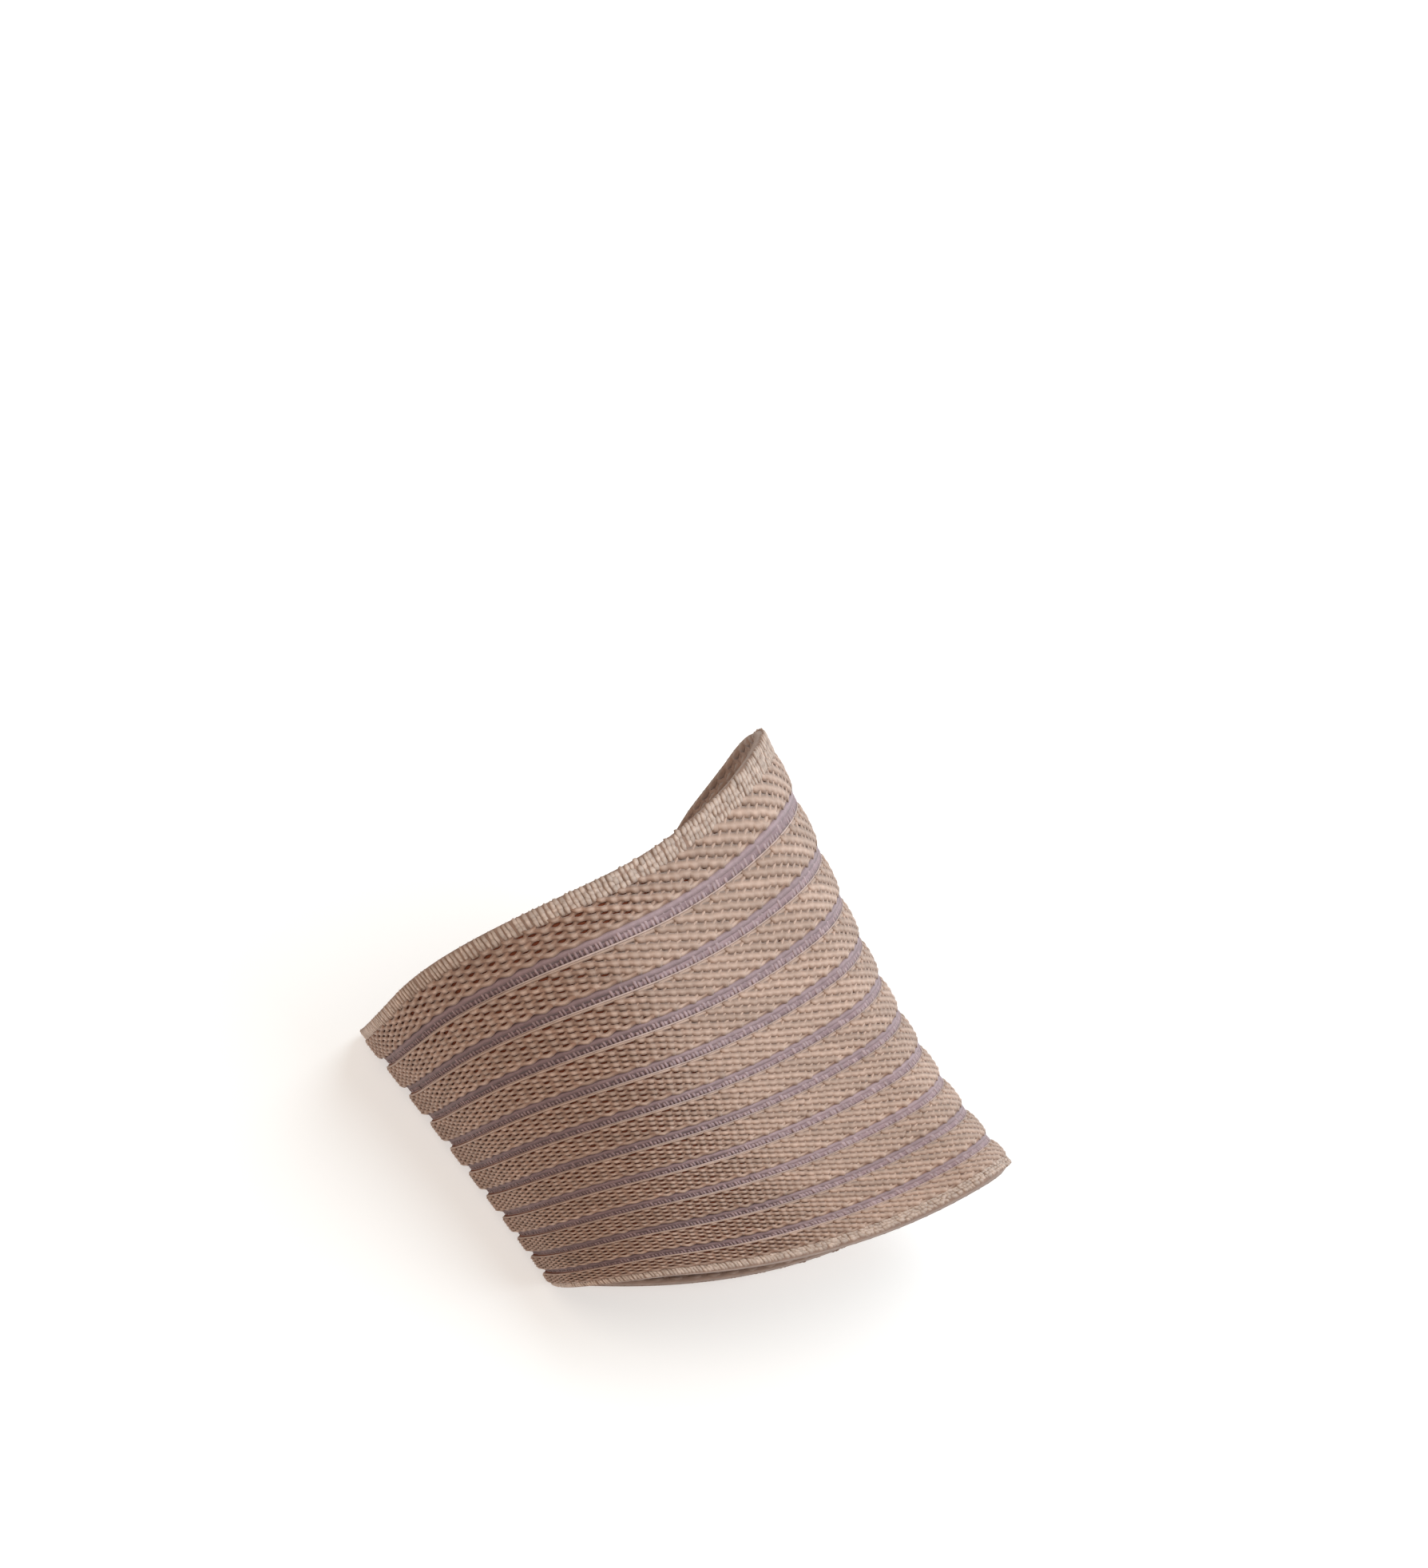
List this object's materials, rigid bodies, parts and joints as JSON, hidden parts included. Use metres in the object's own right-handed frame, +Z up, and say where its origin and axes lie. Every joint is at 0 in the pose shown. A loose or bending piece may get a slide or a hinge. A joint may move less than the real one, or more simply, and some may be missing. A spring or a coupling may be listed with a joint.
{
  "type": "metatarsal support bandage",
  "caption": "Open-ended knitted elastic tube worn around the middle of the foot, with raised tan ribs, sunken mauve elastic strips between them and a stitched selvedge at each end.",
  "frame": {"origin": "middle of the hollow that the foot fills, halfway along the tube and 25 mm above the sole", "axes": "+X towards the toes, +Y towards the big toe side of a right foot, +Z up from the sole"},
  "size_m": [0.097, 0.0866, 0.0662],
  "materials": {
    "knit": "tan ribbed knit",
    "elastic": "mauve elastic ladder knit",
    "selvedge": "pale tan whip-stitched selvedge"
  },
  "bodies": {
    "root": {"heel_edge": "selvedge", "rib_01": "knit", "rib_02": "knit", "rib_03": "knit", "rib_04": "knit", "rib_05": "knit", "rib_06": "knit", "rib_07": "knit", "rib_08": "knit", "rib_09": "knit", "rib_10": "knit", "rib_11": "knit", "web_01": "elastic", "web_02": "elastic", "web_03": "elastic", "web_04": "elastic", "web_05": "elastic", "web_06": "elastic", "web_07": "elastic", "web_08": "elastic", "web_09": "elastic", "web_10": "elastic", "toe_edge": "selvedge"}
  },
  "joints": []
}
